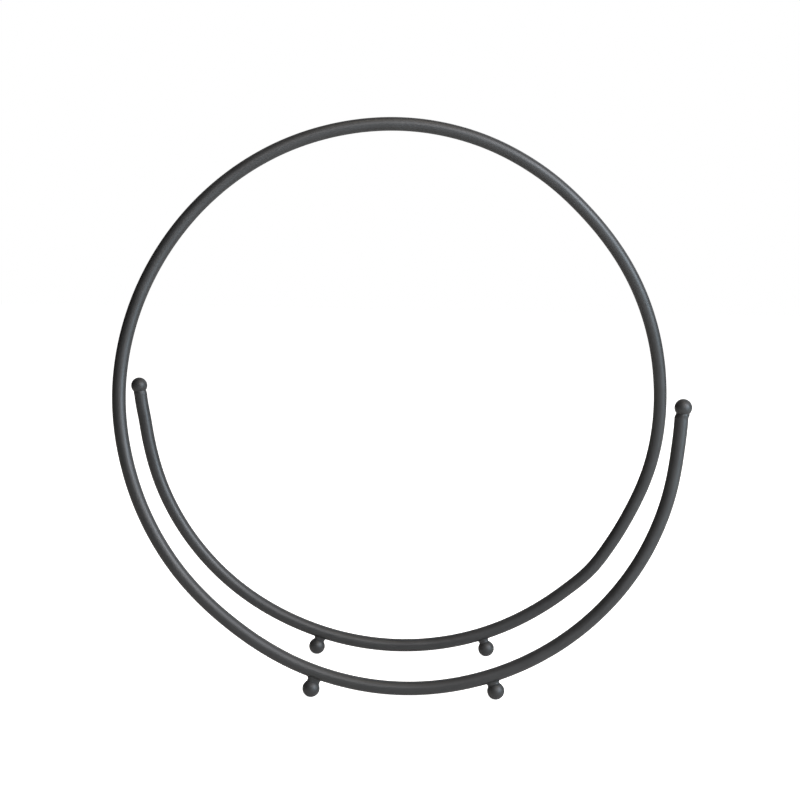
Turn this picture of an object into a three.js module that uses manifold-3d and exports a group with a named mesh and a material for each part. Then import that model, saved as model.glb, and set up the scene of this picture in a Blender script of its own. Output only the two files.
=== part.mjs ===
// Plate display stand: one round steel rod bent into about one and a half turns, so that its two bottom
// arcs stand one behind the other and the loop crosses over between them. A ball is welded on each end
// of the rod, and two small ball feet under each arc.
//
// Units are millimetres. +Z is up, -Y is the front, and the stand rests on z = 0 with the origin in the
// middle of its footprint. A place on the rod is given by its turn: degrees from the top of the loop,
// positive towards the right, seen from the front.
import * as THREE from 'three';
import { mergeVertices } from 'three/addons/utils/BufferGeometryUtils.js';
import Module from 'manifold-3d';

// Stock sizes
const ROD_RADIUS = 4;
const BALL_RADIUS = 5;

// The bent rod
const RING_CENTRE_X = 4;
const ARC_SPACING = 97;
const CROSSING_END = 150;
const CROSSING_EASE = 0.25;

// The rod is bent by hand, so its distance from the ring's centre wanders by a few millimetres.
// Each entry is [turn in degrees, distance of the rod's centreline from the ring's centre].
const BEND_STATIONS = [
  [-270, 156.3], // front end, pulled in a little
  [-262, 156.3],
  [-250, 158.3],
  [-235, 160.4],
  [-215, 161.8],
  [-190, 162], // bottom of the front arc
  [-175, 161.5],
  [-160, 160.4],
  [-142, 159.1], // flatter stretch where the crossing starts
  [-125, 160.5],
  [-105, 162.8],
  [-85, 165.1], // left side
  [-50, 165.6],
  [-30, 165],
  [-15, 163.7],
  [0, 162], // top
  [15, 159.7],
  [30, 157],
  [45, 154.9], // flatter upper right shoulder
  [65, 155.2],
  [85, 156.3], // right side
  [105, 158.5],
  [117, 159.2],
  [125, 160.4],
  [133, 162], // the tight bend where the crossing ends
  [141, 161.5],
  [160, 161.4], // bottom of the rear arc
  [200, 161.3],
  [225, 162.6],
  [245, 163.1],
  [262, 162.8],
  [268, 164.3], // rear end, sprung out a little
];

// Ball feet, standing on small flats worn by the table
const FOOT_FLAT_RADIUS = 1;
const FOOT_DROP = 162.5; // from the ring's centre down to the feet's centres
const FEET = [
  { name: 'front_left', x: -52, side: -1 },
  { name: 'front_right', x: 54.5, side: -1 },
  { name: 'rear_left', x: -53, side: 1 },
  { name: 'rear_right', x: 54, side: 1 },
];

// End balls: how far each one sits off the rod's axis, away from the ring's centre
const ENDS = [
  { name: 'front_end', turn: -269, side: -1, outward: 0.7 },
  { name: 'rear_end', turn: 268.4, side: 1, outward: 0.2 },
];

// Weld metal
const CLEARANCE = 0.3; // left between separate solids
const END_BALL_STANDOFF = 6.1; // from the rod's end face to the ball's centre
const END_WELD_RIM = 3.5; // the weld's upper rim, below the ball's centre
const FOOT_WELD_WAIST = 2.9;
const FOOT_WELD_FLARE = 3.8;

// Fineness of the faceted solids
const ROD_SIDES = 16;
const ROD_STEPS = 150;
const NEARBY_STEPS = 10;
const BALL_SEGMENTS = 20;
const BALL_RINGS = 12;
const WELD_SEGMENTS = 16;

const footCentreZ = Math.sqrt(BALL_RADIUS ** 2 - FOOT_FLAT_RADIUS ** 2);
const ringCentreZ = footCentreZ + FOOT_DROP;
const radians = THREE.MathUtils.degToRad;

// ---------------------------------------------------------------- the rod's centreline

// A smooth curve through the bend stations: a cubic between neighbours, with the slope at each station
// taken from the stations on either side of it.
function centrelineRadius(turn) {
  const last = BEND_STATIONS.length - 1;
  const slopeAt = (index) => {
    const [turnBefore, radiusBefore] = BEND_STATIONS[Math.max(index - 1, 0)];
    const [turnAfter, radiusAfter] = BEND_STATIONS[Math.min(index + 1, last)];
    return (radiusAfter - radiusBefore) / (turnAfter - turnBefore);
  };
  const above = BEND_STATIONS.findIndex(([stationTurn]) => stationTurn > turn);
  const next = above === -1 ? last : Math.max(above, 1);
  const [startTurn, startRadius] = BEND_STATIONS[next - 1];
  const [endTurn, endRadius] = BEND_STATIONS[next];
  const span = endTurn - startTurn;
  const u = (turn - startTurn) / span;
  return (
    startRadius * (2 * u ** 3 - 3 * u ** 2 + 1) +
    slopeAt(next - 1) * span * (u ** 3 - 2 * u ** 2 + u) +
    endRadius * (3 * u ** 2 - 2 * u ** 3) +
    slopeAt(next) * span * (u ** 3 - u ** 2)
  );
}

// The crossing runs straight from front to back with the turn, and rounds into each arc's plane.
function centrelineDepth(turn) {
  const share = Math.min(Math.abs(turn) / CROSSING_END, 1);
  const easeStart = 1 - CROSSING_EASE;
  const past = Math.max(share - easeStart, 0);
  const eased = share - past ** 2 / (2 * CROSSING_EASE);
  const full = 1 - CROSSING_EASE / 2;
  return (Math.sign(turn) * (ARC_SPACING / 2) * eased) / full;
}

function centrelinePoint(turn) {
  const radius = centrelineRadius(turn);
  const x = RING_CENTRE_X + radius * Math.sin(radians(turn));
  const z = ringCentreZ + radius * Math.cos(radians(turn));
  return new THREE.Vector3(x, centrelineDepth(turn), z);
}

class RodCentreline extends THREE.Curve {
  getPoint(t, target = new THREE.Vector3()) {
    const turn = THREE.MathUtils.lerp(ENDS[0].turn, ENDS[1].turn, t);
    return target.copy(centrelinePoint(turn));
  }
}

// ---------------------------------------------------------------- solids

// The polygon section's corners lie on the round rod's surface.
function sweepRod(curve, radius, steps) {
  const section = new THREE.Shape().absarc(0, 0, radius, 0, 2 * Math.PI);
  return new THREE.ExtrudeGeometry(section, { steps, curveSegments: ROD_SIDES / 2, extrudePath: curve });
}

// A profile of [radius, height] points, turned about the vertical axis
function turned(points, segments) {
  const profile = points.map(([radius, height]) => new THREE.Vector2(radius, height));
  return new THREE.LatheGeometry(profile, segments).rotateX(Math.PI / 2);
}

function ballProfile(radius, flatRadius) {
  const start = Math.asin(flatRadius / radius);
  const profile = [[0, -radius * Math.cos(start)]];
  for (let ring = flatRadius > 0 ? 0 : 1; ring < BALL_RINGS; ring += 1) {
    const angle = start + ((Math.PI - start) * ring) / BALL_RINGS;
    profile.push([radius * Math.sin(angle), -radius * Math.cos(angle)]);
  }
  profile.push([0, radius]);
  return profile;
}

function ball(flatRadius) {
  return turned(ballProfile(BALL_RADIUS, flatRadius), BALL_SEGMENTS);
}

// ---------------------------------------------------------------- cutting one solid with others

const wasm = await Module();
wasm.setup();

function toSolid(geometry) {
  const bare = geometry.clone();
  bare.deleteAttribute('normal');
  bare.deleteAttribute('uv');
  const merged = mergeVertices(bare, 1e-4);
  const mesh = new wasm.Mesh({
    numProp: 3,
    vertProperties: new Float32Array(merged.attributes.position.array),
    triVerts: new Uint32Array(merged.index.array),
  });
  return new wasm.Manifold(mesh);
}

function toGeometry(solid) {
  const { vertProperties, triVerts } = solid.getMesh();
  const geometry = new THREE.BufferGeometry();
  geometry.setAttribute('position', new THREE.BufferAttribute(vertProperties, 3));
  geometry.setIndex(new THREE.BufferAttribute(triVerts, 1));
  geometry.computeVertexNormals();
  return geometry;
}

// The blank, less every cutter
function cutAway(blank, cutters) {
  let solid = toSolid(blank);
  for (const cutter of cutters) {
    solid = solid.subtract(toSolid(cutter));
  }
  return toGeometry(solid);
}

// ---------------------------------------------------------------- balls and their places

const up = new THREE.Vector3(0, 0, 1);
const clearanceBall = () => turned(ballProfile(BALL_RADIUS + CLEARANCE, 0), BALL_SEGMENTS);

// Where a foot ball sits, and the place on the rod that it is welded to
function footPlace({ x, side }) {
  const centre = new THREE.Vector3(RING_CENTRE_X + x, (side * ARC_SPACING) / 2, footCentreZ);
  const fromTop = 180 - THREE.MathUtils.radToDeg(Math.atan2(Math.abs(x), FOOT_DROP));
  const turn = x * side > 0 ? side * fromTop : side * (360 - fromTop);
  return { centre, turn };
}

// Where an end ball sits: past the rod's end along the rod, and a little outwards
function endPlace({ turn, side, outward }) {
  const tip = centrelinePoint(turn);
  const along = tip.clone().sub(centrelinePoint(turn - side)).normalize();
  const out = new THREE.Vector3(tip.x - RING_CENTRE_X, 0, tip.z - ringCentreZ).normalize();
  const centre = tip.clone().addScaledVector(along, END_BALL_STANDOFF).addScaledVector(out, outward);
  return { tip, along, centre };
}

// ---------------------------------------------------------------- weld beads

// A waisted collar between a foot ball and the rod, hollowed where the ball and the rod bulge into it
function footWeld(foot) {
  const { centre, turn } = footPlace(foot);
  const rodPoint = centrelinePoint(turn);
  const axis = rodPoint.clone().sub(centre);
  const distance = axis.length();
  const waistHeight = (BALL_RADIUS + distance - ROD_RADIUS) / 2;
  const reach = Math.sqrt((BALL_RADIUS + CLEARANCE) ** 2 - FOOT_WELD_FLARE ** 2);
  const low = reach - CLEARANCE;
  const high = 2 * waistHeight - low;
  const profile = [[0, low], [FOOT_WELD_FLARE, low]];
  const levels = 4;
  for (let level = 1; level < levels; level += 1) {
    const height = THREE.MathUtils.lerp(low, high, level / levels);
    const spread = Math.abs(height - waistHeight) / (waistHeight - low);
    profile.push([THREE.MathUtils.lerp(FOOT_WELD_WAIST, FOOT_WELD_FLARE, spread ** 2), height]);
  }
  profile.push([FOOT_WELD_FLARE, high], [0, high]);

  const tilt = new THREE.Quaternion().setFromUnitVectors(up, axis.normalize());
  const blank = turned(profile, WELD_SEGMENTS).applyQuaternion(tilt).translate(centre.x, centre.y, centre.z);
  const nearby = new THREE.CatmullRomCurve3([-3, -1, 1, 3].map((step) => centrelinePoint(turn + step)));
  const rodCut = sweepRod(nearby, ROD_RADIUS + CLEARANCE, NEARBY_STEPS);
  const ballCut = clearanceBall().translate(centre.x, centre.y, centre.z);
  return cutAway(blank, [rodCut, ballCut]);
}

// A short collar that carries the rod's outline on from its end face up round the ball
function endWeld(end) {
  const { tip, along, centre } = endPlace(end);
  const base = CLEARANCE;
  const rim = END_BALL_STANDOFF - END_WELD_RIM;
  const rimCentre = centre.clone().addScaledVector(along, -END_WELD_RIM);
  const lean = rimCentre.sub(tip.clone().addScaledVector(along, rim));
  const tilt = new THREE.Quaternion().setFromUnitVectors(up, along);
  const blank = turned(
    [[0, base], [ROD_RADIUS, base], [ROD_RADIUS, rim], [0, rim]],
    WELD_SEGMENTS,
  ).applyQuaternion(tilt);
  const blankPositions = blank.attributes.position;
  const vertex = new THREE.Vector3();
  for (let index = 0; index < blankPositions.count; index += 1) {
    vertex.fromBufferAttribute(blankPositions, index);
    const share = vertex.dot(along) / rim;
    vertex.addScaledVector(lean, share);
    blankPositions.setXYZ(index, vertex.x, vertex.y, vertex.z);
  }
  blank.translate(tip.x, tip.y, tip.z);
  return cutAway(blank, [clearanceBall().translate(centre.x, centre.y, centre.z)]);
}

// ---------------------------------------------------------------- assembly

const coat = { color: 0x3d3f43, roughness: 0.55, metalness: 0.1 };
const stand = new THREE.Group();
stand.name = 'plate_display_stand';

function addPiece(name, geometry, position) {
  const piece = new THREE.Mesh(geometry, new THREE.MeshStandardMaterial(coat));
  piece.name = name;
  if (position) {
    piece.position.copy(position);
  }
  stand.add(piece);
}

addPiece('hoop_rod', sweepRod(new RodCentreline(), ROD_RADIUS, ROD_STEPS));

for (const end of ENDS) {
  addPiece(`${end.name}_ball`, ball(0), endPlace(end).centre);
  addPiece(`${end.name}_weld`, endWeld(end));
}

for (const foot of FEET) {
  addPiece(`${foot.name}_foot_ball`, ball(FOOT_FLAT_RADIUS), footPlace(foot).centre);
  addPiece(`${foot.name}_foot_weld`, footWeld(foot));
}

export default stand;
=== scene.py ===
"""Looks of the plate display stand: a bent rod with ball ends and ball feet, in graphite powder coat.

Every length is in metres, in the frame of the CAD model: +Z up, -Y the front, the stand on z = 0. A place
on the rod is given by its turn, in degrees from the top of the loop, positive to the right as seen from
the front.
"""
import bisect
import math

import bpy
import numpy as np
from mathutils import Matrix, Vector


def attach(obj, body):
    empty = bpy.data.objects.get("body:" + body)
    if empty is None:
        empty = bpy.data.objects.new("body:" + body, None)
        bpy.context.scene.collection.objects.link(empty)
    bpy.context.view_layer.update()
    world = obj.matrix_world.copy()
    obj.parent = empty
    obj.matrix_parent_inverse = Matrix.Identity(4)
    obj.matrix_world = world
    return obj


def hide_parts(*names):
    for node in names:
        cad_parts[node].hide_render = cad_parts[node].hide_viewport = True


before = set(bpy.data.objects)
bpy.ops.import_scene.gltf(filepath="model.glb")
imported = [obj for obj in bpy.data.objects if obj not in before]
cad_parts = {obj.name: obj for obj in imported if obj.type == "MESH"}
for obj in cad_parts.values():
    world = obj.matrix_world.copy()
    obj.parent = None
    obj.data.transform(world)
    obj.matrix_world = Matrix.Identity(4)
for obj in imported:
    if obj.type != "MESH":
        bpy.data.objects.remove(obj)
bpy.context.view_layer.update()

MM = 0.001

# ------------------------------------------------------------ driving sizes, as in the CAD model
ROD_RADIUS = 4 * MM
BALL_RADIUS = 5 * MM
RING_CENTRE_X = 4 * MM
ARC_SPACING = 97 * MM
CROSSING_END = 150  # degrees from the top to where the rod is in an arc's plane
CROSSING_EASE = 0.25  # share of the crossing that rounds into that plane
FOOT_FLAT_RADIUS = 1 * MM
FOOT_DROP = 162.5 * MM  # from the ring's centre down to the feet's centres
END_BALL_STANDOFF = 6.1 * MM  # from the rod's end face to the ball's centre

FOOT_CENTRE_Z = math.sqrt(BALL_RADIUS**2 - FOOT_FLAT_RADIUS**2)
RING_CENTRE_Z = FOOT_CENTRE_Z + FOOT_DROP

# turn in degrees, and distance of the rod's centreline from the ring's centre in millimetres
BEND_STATIONS = [
    (-270, 156.3),
    (-262, 156.3),
    (-250, 158.3),
    (-235, 160.4),
    (-215, 161.8),
    (-190, 162),
    (-175, 161.5),
    (-160, 160.4),
    (-142, 159.1),
    (-125, 160.5),
    (-105, 162.8),
    (-85, 165.1),
    (-50, 165.6),
    (-30, 165),
    (-15, 163.7),
    (0, 162),
    (15, 159.7),
    (30, 157),
    (45, 154.9),
    (65, 155.2),
    (85, 156.3),
    (105, 158.5),
    (117, 159.2),
    (125, 160.4),
    (133, 162),
    (141, 161.5),
    (160, 161.4),
    (200, 161.3),
    (225, 162.6),
    (245, 163.1),
    (262, 162.8),
    (268, 164.3),
]

# name of the foot, its x from the ring's centre in millimetres, its arc (-1 front, 1 rear), and the
# radius of its weld's waist in millimetres
FEET = [
    ("front_left", -52, -1, 3.25),
    ("front_right", 54.5, -1, 3.05),
    ("rear_left", -53, 1, 2.9),
    ("rear_right", 54, 1, 2.75),
]

# name of the end, its turn, its arc, and how far its ball sits off the rod's axis in millimetres
ENDS = [
    ("front_end", -269, -1, 0.7),
    ("rear_end", 268.4, 1, 0.2),
]

# ------------------------------------------------------------ weld metal
LAP_OVER_WAIST = 0.35 * MM  # how much wider than its waist the bead starts, on the ball
LAP_PULL = 0.35 * MM  # how straight it leaves the ball
LAP_LEAN = 0.4  # how much it leans in there
TOE_OVER_WAIST = 0.95 * MM  # how much wider than its waist it runs out on the rod
TOE_PULL = 0.6 * MM  # how long it follows the rod's surface there
WELD_ASPECT = 0.7  # a foot's bead is laid along the rod, so it is narrower across it
WELD_WANDER = 0.04  # how uneven its girth is
LIP_HEIGHT = 0.1 * MM  # its lip stands proud of the ball
LIP_SHARE = 0.3  # share of the bead that the lip takes up
NECK_RADIUS = 3.82 * MM  # where an end ball's weld meets the ball
SHOULDER_SWELL = 0.03 * MM  # how far its shoulder stands out past the rod
SHOULDER_SHARE = 0.7  # share of its height that the shoulder takes up
NECK_START = 0.6  # share of its height where the neck starts to close in
WELD_RIPPLE = 0.02 * MM  # how high the ripples are
WELD_RIPPLES = 17  # how many there are around a bead
FOOT_PHASE_STEP = 1.7  # radians that one foot's ripples are turned from the last foot's
END_PHASE_STEP = 2.1
SINK = 0.3 * MM  # how far a closed end is buried in its neighbour

# ------------------------------------------------------------ fineness of the visible surfaces
ROD_SIDES = 56
ROD_STEPS = 1300
BALL_SEGMENTS = 72
BALL_RINGS = 48
WELD_SEGMENTS = 96
WELD_RINGS = 28
SHARP_ANGLE = math.radians(40)  # an edge that turns more than this is shaded as a corner
SKIN_RADIUS = ROD_RADIUS - 0.03 * MM  # the finished rod, a hair inside the CAD model's facets


# ------------------------------------------------------------ the rod's centreline
def centreline_radius(turn):
    """Distance from the ring's centre: a cubic between stations, with the slope of their neighbours."""
    last = len(BEND_STATIONS) - 1

    def slope_at(index):
        turn_before, radius_before = BEND_STATIONS[max(index - 1, 0)]
        turn_after, radius_after = BEND_STATIONS[min(index + 1, last)]
        return (radius_after - radius_before) / (turn_after - turn_before)

    following = bisect.bisect_right([station for station, _ in BEND_STATIONS], turn)
    following = min(max(following, 1), last)
    start_turn, start_radius = BEND_STATIONS[following - 1]
    end_turn, end_radius = BEND_STATIONS[following]
    span = end_turn - start_turn
    u = (turn - start_turn) / span
    radius = (
        start_radius * (2 * u**3 - 3 * u**2 + 1)
        + slope_at(following - 1) * span * (u**3 - 2 * u**2 + u)
        + end_radius * (3 * u**2 - 2 * u**3)
        + slope_at(following) * span * (u**3 - u**2)
    )
    return radius * MM


def centreline_depth(turn):
    """The crossing runs straight from front to back with the turn, and rounds into each arc's plane."""
    share = min(abs(turn) / CROSSING_END, 1)
    past = max(share - (1 - CROSSING_EASE), 0)
    eased = share - past**2 / (2 * CROSSING_EASE)
    return math.copysign(ARC_SPACING / 2, turn) * eased / (1 - CROSSING_EASE / 2)


def centreline_point(turn):
    radius = centreline_radius(turn)
    angle = math.radians(turn)
    return Vector((
        RING_CENTRE_X + radius * math.sin(angle),
        centreline_depth(turn),
        RING_CENTRE_Z + radius * math.cos(angle),
    ))


def foot_place(x_mm, side):
    """Centre of a foot ball, and the point on the rod's centreline that it is welded below."""
    centre = Vector((RING_CENTRE_X + x_mm * MM, side * ARC_SPACING / 2, FOOT_CENTRE_Z))
    from_top = 180 - math.degrees(math.atan2(abs(x_mm * MM), FOOT_DROP))
    turn = side * from_top if x_mm * side > 0 else side * (360 - from_top)
    return centre, turn


def end_place(turn, side, outward_mm):
    """Tip of the rod, its direction there, and the centre of the ball past it."""
    tip = centreline_point(turn)
    along = (tip - centreline_point(turn - side)).normalized()
    out = Vector((tip.x - RING_CENTRE_X, 0, tip.z - RING_CENTRE_Z)).normalized()
    centre = tip + along * END_BALL_STANDOFF + out * outward_mm * MM
    return tip, along, centre


# ------------------------------------------------------------ mesh helpers
def make_piece(name, vertices, faces):
    mesh = bpy.data.meshes.new(name)
    mesh.from_pydata([tuple(v) for v in vertices], [], faces)
    mesh.validate()
    mesh.shade_smooth()
    mesh.set_sharp_from_angle(angle=SHARP_ANGLE)
    piece = bpy.data.objects.new(name, mesh)
    bpy.context.scene.collection.objects.link(piece)
    return piece


def set_lay(piece, lay):
    """Record where each vertex lies on the drawn bar: metres along it, and its place in the section."""
    attribute = piece.data.attributes.new("lay", "FLOAT_VECTOR", "POINT")
    attribute.data.foreach_set("vector", [value for place in lay for value in place])


def ring_faces(rings, segments):
    """Quads between neighbouring rings of vertices."""
    faces = []
    for ring in range(rings - 1):
        for segment in range(segments):
            a = ring * segments + segment
            b = ring * segments + (segment + 1) % segments
            faces.append((a, b, b + segments, a + segments))
    return faces


def close_with_poles(rings, segments):
    """Faces of a closed surface: the quads, with a fan to one extra vertex at each end."""
    faces = ring_faces(rings, segments)
    first_pole = rings * segments
    last_pole = first_pole + 1
    top = (rings - 1) * segments
    for segment in range(segments):
        following = (segment + 1) % segments
        faces.append((first_pole, following, segment))
        faces.append((last_pole, top + segment, top + following))
    return faces


# ------------------------------------------------------------ rod
def build_rod():
    """The round bar swept along its centreline, with its section carried without twist."""
    turns = np.linspace(ENDS[0][1], ENDS[1][1], ROD_STEPS + 1)
    points = [centreline_point(turn) for turn in turns]
    across = Vector((0, 1, 0))
    length = 0
    vertices = []
    lay = []
    for index, point in enumerate(points):
        before = points[max(index - 1, 0)]
        after = points[min(index + 1, ROD_STEPS)]
        length += (point - before).length
        tangent = (after - before).normalized()
        across = (across - tangent * across.dot(tangent)).normalized()
        outward = tangent.cross(across)
        for segment in range(ROD_SIDES):
            angle = 2 * math.pi * segment / ROD_SIDES
            side = Vector((math.cos(angle), math.sin(angle))) * SKIN_RADIUS
            vertices.append(point + across * side.x + outward * side.y)
            lay.append((length, side.x, side.y))
    vertices += [points[0], points[-1]]
    lay += [(0, 0, 0), (length, 0, 0)]
    piece = make_piece("rod_surface", vertices, close_with_poles(ROD_STEPS + 1, ROD_SIDES))
    set_lay(piece, lay)
    return piece


# ------------------------------------------------------------ balls
def build_ball(name, centre, rests_on_table):
    """A steel ball; a foot ball is worn flat where it stands on the table."""
    vertices = []
    for ring in range(BALL_RINGS):
        polar = math.pi * (ring + 0.5) / BALL_RINGS
        for segment in range(BALL_SEGMENTS):
            angle = 2 * math.pi * segment / BALL_SEGMENTS
            direction = Vector((
                math.sin(polar) * math.cos(angle),
                math.sin(polar) * math.sin(angle),
                -math.cos(polar),
            ))
            vertices.append(centre + direction * BALL_RADIUS)
    vertices += [centre - Vector((0, 0, BALL_RADIUS)), centre + Vector((0, 0, BALL_RADIUS))]
    if rests_on_table:
        for vertex in vertices:
            vertex.z = max(vertex.z, 0)
    return make_piece(name, vertices, close_with_poles(BALL_RINGS, BALL_SEGMENTS))


# ------------------------------------------------------------ welds
def bezier(points, t):
    a, b, c, d = points
    return a * (1 - t) ** 3 + b * 3 * t * (1 - t) ** 2 + c * 3 * t**2 * (1 - t) + d * t**3


def frame_from_axis(axis, hint):
    """Two directions square to the axis and to each other, the first as close to the hint as it can be."""
    first = (hint - axis * hint.dot(axis)).normalized()
    return first, axis.cross(first)


def build_foot_weld(name, centre, turn, waist, phase):
    """The bead of weld metal between a foot ball and the rod: a low lip where it laps the ball, a waist,
    and a smooth run-out on the rod's surface."""
    rod_point = centreline_point(turn)
    axis = rod_point - centre
    distance = axis.length
    axis.normalize()
    tangent = (centreline_point(turn + 0.5) - centreline_point(turn - 0.5)).normalized()
    along, across = frame_from_axis(axis, tangent)
    vertices = []
    for ring in range(WELD_RINGS + 1):
        t = ring / WELD_RINGS
        for segment in range(WELD_SEGMENTS):
            angle = 2 * math.pi * segment / WELD_SEGMENTS
            sideways = math.sin(angle)
            # a hand weld is never quite even: it wanders, and it freezes in ripples
            wander = 1 + WELD_WANDER * (math.sin(2 * angle + phase) + math.sin(3 * angle - 2 * phase))
            girth = (math.cos(angle) ** 2 + WELD_ASPECT * sideways**2) * wander
            ripple = WELD_RIPPLE * math.sin(WELD_RIPPLES * angle + phase)

            # on the ball: where the bead starts, and the way it sets off
            lap = (waist + LAP_OVER_WAIST) * girth
            lap_angle = math.asin(lap / BALL_RADIUS)
            start = Vector((lap, BALL_RADIUS * math.cos(lap_angle)))
            start_way = Vector((-LAP_LEAN * math.cos(lap_angle), 1)).normalized()

            # on the rod: where the bead ends, and the way out along the rod's surface there
            reach = (waist + TOE_OVER_WAIST) * girth
            wrap = math.asin(reach * abs(sideways) / ROD_RADIUS)
            end = Vector((reach, distance - ROD_RADIUS * math.cos(wrap)))
            end_way = Vector((1, math.tan(wrap) * abs(sideways))).normalized()

            place = bezier((start, start + start_way * LAP_PULL, end - end_way * TOE_PULL, end), t)
            out_of_ball = Vector((math.sin(lap_angle), math.cos(lap_angle)))
            place += out_of_ball * (LIP_HEIGHT * math.sin(math.pi * min(t / LIP_SHARE, 1)) ** 2)
            place.x += ripple * math.sin(math.pi * t)
            out = along * math.cos(angle) + across * sideways
            vertices.append(centre + out * place.x + axis * place.y)
    vertices += [centre + axis * (BALL_RADIUS - SINK), rod_point - axis * (ROD_RADIUS - SINK)]
    return make_piece(name, vertices, close_with_poles(WELD_RINGS + 1, WELD_SEGMENTS))


def build_end_weld(name, tip, along, centre, phase):
    """The weld metal that carries the rod's outline on past its end face: a rounded shoulder, then a
    neck that closes in on the ball."""
    first, second = frame_from_axis(along, Vector((0, 1, 0)))
    offset = centre - tip - along * (centre - tip).dot(along)
    crease_height = END_BALL_STANDOFF - math.sqrt(BALL_RADIUS**2 - NECK_RADIUS**2)
    top = crease_height + SINK
    vertices = []
    lay = []
    for ring in range(WELD_RINGS + 1):
        height = top * ring / WELD_RINGS
        share = min(height / crease_height, 1)
        shoulder = SHOULDER_SWELL * math.sin(math.pi * min(share / SHOULDER_SHARE, 1)) ** 2
        closing = max(share - NECK_START, 0) / (1 - NECK_START)
        radius = SKIN_RADIUS + shoulder - (SKIN_RADIUS - NECK_RADIUS) * closing**2 * (3 - 2 * closing)
        shift = offset * (3 * share**2 - 2 * share**3)
        for segment in range(WELD_SEGMENTS):
            angle = 2 * math.pi * segment / WELD_SEGMENTS
            ripple = WELD_RIPPLE * math.sin(WELD_RIPPLES * angle + phase) * math.sin(math.pi * share)
            out = first * math.cos(angle) + second * math.sin(angle)
            vertices.append(tip + along * height + shift + out * (radius + ripple))
            lay.append((height, SKIN_RADIUS * math.cos(angle), SKIN_RADIUS * math.sin(angle)))
    vertices += [tip, tip + along * top + offset]
    lay += [(0, 0, 0), (top, 0, 0)]
    piece = make_piece(name, vertices, close_with_poles(WELD_RINGS + 1, WELD_SEGMENTS))
    set_lay(piece, lay)
    return piece


# ------------------------------------------------------------ material
COAT_TINT = (0.020, 0.020, 0.020)
DARK_MOTTLE = 0.85  # this and the next three are shares of the tint
PALE_MOTTLE = 1.15
PALE_GRAIN = 1.5
RUBBED = 2.6
SMOOTH_ROUGHNESS = 0.44
PLAIN_ROUGHNESS = 0.49
PEEL_DEPTH = 0.012 * MM
GRIT_DEPTH = 0.004 * MM
STREAK_DEPTH = 0.03 * MM
STREAK_GLOSS = 0.06
STREAK_SQUASH = 0.035  # streaks are this much narrower than they are long
RUB_SQUASH = 0.3
RUB_OFFSET = (5, 5, 5)  # keeps the rubbed places clear of the streaks' pattern


class Coat:
    """Small helpers for writing one node material. Noise scales are in cells per metre."""

    def __init__(self, name, texture_offset):
        self.material = bpy.data.materials.new(name)
        self.material.use_nodes = True
        self.nodes = self.material.node_tree.nodes
        self.links = self.material.node_tree.links
        self.shader = self.nodes["Principled BSDF"]
        coordinates = self.nodes.new("ShaderNodeTexCoord")
        self.place = self.shifted(coordinates.outputs["Object"], texture_offset, (1, 1, 1))

    def shifted(self, vector, offset, scale):
        mapping = self.nodes.new("ShaderNodeMapping")
        mapping.inputs["Location"].default_value = offset
        mapping.inputs["Scale"].default_value = scale
        self.links.new(vector, mapping.inputs["Vector"])
        return mapping.outputs["Vector"]

    def noise(self, vector, scale, detail, roughness):
        node = self.nodes.new("ShaderNodeTexNoise")
        node.inputs["Scale"].default_value = scale
        node.inputs["Detail"].default_value = detail
        node.inputs["Roughness"].default_value = roughness
        self.links.new(vector, node.inputs["Vector"])
        return node.outputs["Fac"]

    def spread(self, source, start, end, low, high):
        node = self.nodes.new("ShaderNodeMapRange")
        node.inputs["From Min"].default_value = start
        node.inputs["From Max"].default_value = end
        node.inputs["To Min"].default_value = low
        node.inputs["To Max"].default_value = high
        self.links.new(source, node.inputs["Value"])
        return node.outputs["Result"]

    def blend(self, factor, first, second):
        """First and second are colours or the sockets that give them."""
        node = self.nodes.new("ShaderNodeMix")
        node.data_type = "RGBA"
        self.links.new(factor, node.inputs[0])
        for socket, value in ((node.inputs[6], first), (node.inputs[7], second)):
            if isinstance(value, tuple):
                socket.default_value = (*value, 1)
            else:
                self.links.new(value, socket)
        return node.outputs[2]

    def add(self, first, second):
        node = self.nodes.new("ShaderNodeMath")
        node.operation = "ADD"
        self.links.new(first, node.inputs[0])
        self.links.new(second, node.inputs[1])
        return node.outputs[0]

    def bump(self, height, depth, strength, below):
        """Relief of that depth in metres, laid over the relief below it."""
        node = self.nodes.new("ShaderNodeBump")
        node.inputs["Strength"].default_value = strength
        node.inputs["Distance"].default_value = depth
        self.links.new(height, node.inputs["Height"])
        if below is not None:
            self.links.new(below, node.inputs["Normal"])
        return node.outputs["Normal"]


def times(colour, factor):
    return tuple(channel * factor for channel in colour)


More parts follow.
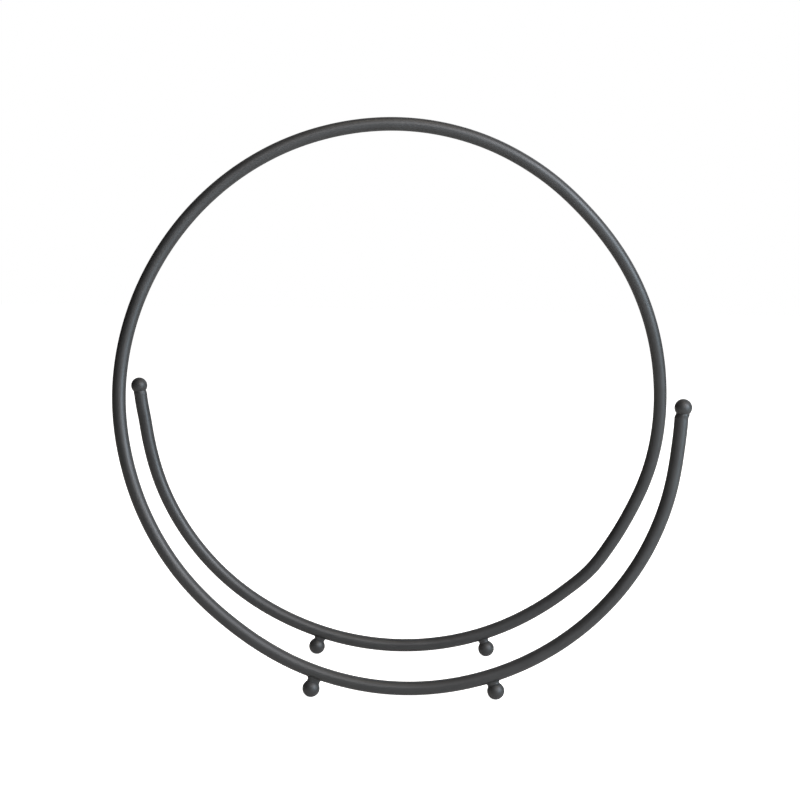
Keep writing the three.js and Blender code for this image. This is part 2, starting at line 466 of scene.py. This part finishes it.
def powder_coat(name, tint, gloss_shift, texture_offset, drawn):
    """Satin graphite powder coat: a fine orange peel with grit on it, faint mottling in colour and gloss,
    and on drawn bar the long faint streaks of the steel below, with a few rubbed places."""
    coat = Coat(name, texture_offset)
    coat.shader.inputs["Metallic"].default_value = 0.0
    coat.shader.inputs["IOR"].default_value = 1.5
    coat.shader.inputs["Specular IOR Level"].default_value = 0.5

    # colour: soft mottling a centimetre across, and paler grains of the powder
    mottling = coat.noise(coat.place, scale=90, detail=3, roughness=0.55)
    mottling = coat.spread(mottling, start=0.3, end=0.7, low=0, high=1)
    colour = coat.blend(mottling, times(tint, DARK_MOTTLE), times(tint, PALE_MOTTLE))
    grains = coat.noise(coat.place, scale=3200, detail=2, roughness=0.6)
    grains = coat.spread(grains, start=0.62, end=0.72, low=0, high=1)
    colour = coat.blend(grains, colour, times(tint, PALE_GRAIN))

    # gloss: handled places are a little smoother than the rest
    handling = coat.noise(coat.place, scale=45, detail=4, roughness=0.6)
    smooth = SMOOTH_ROUGHNESS + gloss_shift
    plain = PLAIN_ROUGHNESS + gloss_shift
    gloss = coat.spread(handling, start=0.3, end=0.7, low=smooth, high=plain)

    # relief: the coat's orange peel, with the powder's fine grit on it
    peel = coat.noise(coat.place, scale=1400, detail=2, roughness=0.5)
    relief = coat.bump(peel, depth=PEEL_DEPTH, strength=0.5, below=None)
    grit = coat.noise(coat.place, scale=5200, detail=2, roughness=0.6)
    relief = coat.bump(grit, depth=GRIT_DEPTH, strength=0.5, below=relief)

    if drawn:
        lay = coat.nodes.new("ShaderNodeAttribute")
        lay.attribute_name = "lay"
        streak_place = coat.shifted(lay.outputs["Vector"], texture_offset, (STREAK_SQUASH, 1, 1))
        streaks = coat.noise(streak_place, scale=1100, detail=3, roughness=0.6)
        streak_gloss = coat.spread(streaks, start=0.3, end=0.7, low=-STREAK_GLOSS, high=STREAK_GLOSS)
        gloss = coat.add(gloss, streak_gloss)
        relief = coat.bump(streaks, depth=STREAK_DEPTH, strength=0.4, below=relief)
        rub_place = coat.shifted(lay.outputs["Vector"], RUB_OFFSET, (RUB_SQUASH, 1, 1))
        rubs = coat.noise(rub_place, scale=330, detail=4, roughness=0.65)
        rubs = coat.spread(rubs, start=0.68, end=0.78, low=0, high=1)
        colour = coat.blend(rubs, colour, times(tint, RUBBED))

    coat.links.new(colour, coat.shader.inputs["Base Color"])
    coat.links.new(gloss, coat.shader.inputs["Roughness"])
    coat.links.new(relief, coat.shader.inputs["Normal"])
    return coat.material


# ------------------------------------------------------------ assembly
def finish_piece(piece, material, node):
    piece.data.materials.append(material)
    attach(piece, "root")
    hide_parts(node)


def build_stand():
    rod_coat = powder_coat("rod_coat", COAT_TINT, 0.0, (0, 0, 0), drawn=True)
    ball_coat = powder_coat("ball_coat", COAT_TINT, 0.04, (0.3, 0.1, 0.2), drawn=False)
    weld_coat = powder_coat("weld_coat", COAT_TINT, 0.03, (0.7, 0.5, 0.4), drawn=False)

    finish_piece(build_rod(), rod_coat, "hoop_rod")
    for index, (name, turn, side, outward) in enumerate(ENDS):
        tip, along, centre = end_place(turn, side, outward)
        ball = build_ball(f"{name}_ball_surface", centre, False)
        phase = index * END_PHASE_STEP
        weld = build_end_weld(f"{name}_weld_surface", tip, along, centre, phase)
        finish_piece(ball, ball_coat, f"{name}_ball")
        finish_piece(weld, rod_coat, f"{name}_weld")
    for index, (name, x_mm, side, waist_mm) in enumerate(FEET):
        centre, turn = foot_place(x_mm, side)
        phase = index * FOOT_PHASE_STEP
        ball = build_ball(f"{name}_foot_surface", centre, True)
        weld = build_foot_weld(f"{name}_foot_weld_surface", centre, turn, waist_mm * MM, phase)
        finish_piece(ball, ball_coat, f"{name}_foot_ball")
        finish_piece(weld, weld_coat, f"{name}_foot_weld")


# ------------------------------------------------------------ floor and light
FLOOR_SIZE = 8.0
LIGHT_DISTANCE = 1.7  # from the ring's centre
ROOM_BRIGHTNESS = 0.008


def build_floor():
    """A white paper sweep that the stand is on."""
    half = FLOOR_SIZE / 2
    corners = [(-half, -half, 0), (half, -half, 0), (half, half, 0), (-half, half, 0)]
    floor = make_piece("floor", [Vector(corner) for corner in corners], [(0, 1, 2, 3)])
    material = bpy.data.materials.new("floor_white")
    material.use_nodes = True
    nodes = material.node_tree.nodes
    links = material.node_tree.links
    shader = nodes["Principled BSDF"]
    shader.inputs["Base Color"].default_value = (0.82, 0.80, 0.77, 1)
    shader.inputs["Roughness"].default_value = 0.9
    shader.inputs["Specular IOR Level"].default_value = 0.0
    # the paper is lit on its own, brighter than the object, and only the camera sees that
    glow = nodes.new("ShaderNodeEmission")
    glow.inputs["Color"].default_value = (1, 1, 1, 1)
    seen = nodes.new("ShaderNodeLightPath")
    links.new(seen.outputs["Is Camera Ray"], glow.inputs["Strength"])
    both = nodes.new("ShaderNodeAddShader")
    links.new(shader.outputs["BSDF"], both.inputs[0])
    links.new(glow.outputs["Emission"], both.inputs[1])
    links.new(both.outputs[0], nodes["Material Output"].inputs["Surface"])
    floor.data.materials.append(material)


def build_world():
    """White behind the object for the camera, and a dim, even room for everything else."""
    world = bpy.data.worlds.new("studio")
    world.use_nodes = True
    bpy.context.scene.world = world
    nodes = world.node_tree.nodes
    links = world.node_tree.links
    room = nodes["Background"]
    room.inputs["Color"].default_value = (0.9, 0.95, 1.0, 1)
    room.inputs["Strength"].default_value = ROOM_BRIGHTNESS
    white = nodes.new("ShaderNodeBackground")
    white.inputs["Color"].default_value = (1, 1, 1, 1)
    white.inputs["Strength"].default_value = 1.0
    seen = nodes.new("ShaderNodeLightPath")
    choice = nodes.new("ShaderNodeMixShader")
    links.new(seen.outputs["Is Camera Ray"], choice.inputs[0])
    links.new(room.outputs[0], choice.inputs[1])
    links.new(white.outputs[0], choice.inputs[2])
    links.new(choice.outputs[0], nodes["World Output"].inputs["Surface"])


def add_softbox(name, azimuth, elevation, size, power, colour):
    """A square softbox facing the ring's centre. Azimuth is in degrees to the right of the front."""
    data = bpy.data.lights.new(name, "AREA")
    data.shape = "SQUARE"
    data.size = size
    data.energy = power
    data.color = colour
    light = bpy.data.objects.new(name, data)
    light.visible_camera = False
    bpy.context.scene.collection.objects.link(light)
    turn = math.radians(azimuth)
    rise = math.radians(elevation)
    away = Vector((math.sin(turn) * math.cos(rise), -math.cos(turn) * math.cos(rise), math.sin(rise)))
    light.location = Vector((RING_CENTRE_X, 0, RING_CENTRE_Z)) + away * LIGHT_DISTANCE
    light.rotation_mode = "QUATERNION"
    light.rotation_quaternion = away.to_track_quat("Z", "Y")


def build_lights():
    add_softbox("side_key", 55, 28, 0.9, 27.5, (0.98, 0.98, 1.04))
    add_softbox("low_side_light", 55, 8, 0.9, 15, (0.74, 1.03, 1.23))
    add_softbox("front_light", 15, 28, 0.9, 12, (1.03, 0.99, 0.98))
    add_softbox("top_light", 35, 70, 0.9, 6, (1.15, 1.01, 0.84))
    add_softbox("rear_key", 145, 30, 1.5, 8.5, (0.98, 1.0, 1.02))
    add_softbox("rear_fill", 205, 40, 1.5, 3, (1.0, 1.0, 1.0))


# ------------------------------------------------------------ camera
CAMERA_LENS = 76.5  # millimetres
CAMERA_SENSOR = 36  # millimetres wide
CAMERA_DISTANCE = 1010.5 * MM
CAMERA_PITCH = 6.18  # degrees that it looks down
CAMERA_YAW = 0.23
CAMERA_ROLL = -0.89
CAMERA_SHIFT_RIGHT = 3.1 * MM  # how far right of the view's middle the ring's centre is
CAMERA_SHIFT_UP = -0.1 * MM


def build_camera():
    pitch = math.radians(CAMERA_PITCH)
    yaw = math.radians(CAMERA_YAW)
    roll = math.radians(CAMERA_ROLL)
    forward = Vector((math.sin(yaw) * math.cos(pitch), math.cos(yaw) * math.cos(pitch), -math.sin(pitch)))
    level_up = Vector((math.sin(yaw) * math.sin(pitch), math.cos(yaw) * math.sin(pitch), math.cos(pitch)))
    level_right = Vector((math.cos(yaw), -math.sin(yaw), 0))
    right = level_right * math.cos(roll) - level_up * math.sin(roll)
    up = level_right * math.sin(roll) + level_up * math.cos(roll)
    aim = Vector((RING_CENTRE_X, 0, RING_CENTRE_Z)) - right * CAMERA_SHIFT_RIGHT - up * CAMERA_SHIFT_UP

    data = bpy.data.cameras.new("camera")
    data.sensor_width = CAMERA_SENSOR
    data.lens = CAMERA_LENS
    camera = bpy.data.objects.new("camera", data)
    bpy.context.scene.collection.objects.link(camera)
    rotation = Matrix((right, up, -forward)).transposed()
    camera.matrix_world = Matrix.Translation(aim - forward * CAMERA_DISTANCE) @ rotation.to_4x4()
    bpy.context.scene.camera = camera


build_camera()
build_stand()
build_floor()
build_world()
build_lights()
bpy.context.scene.view_settings.view_transform = "Standard"
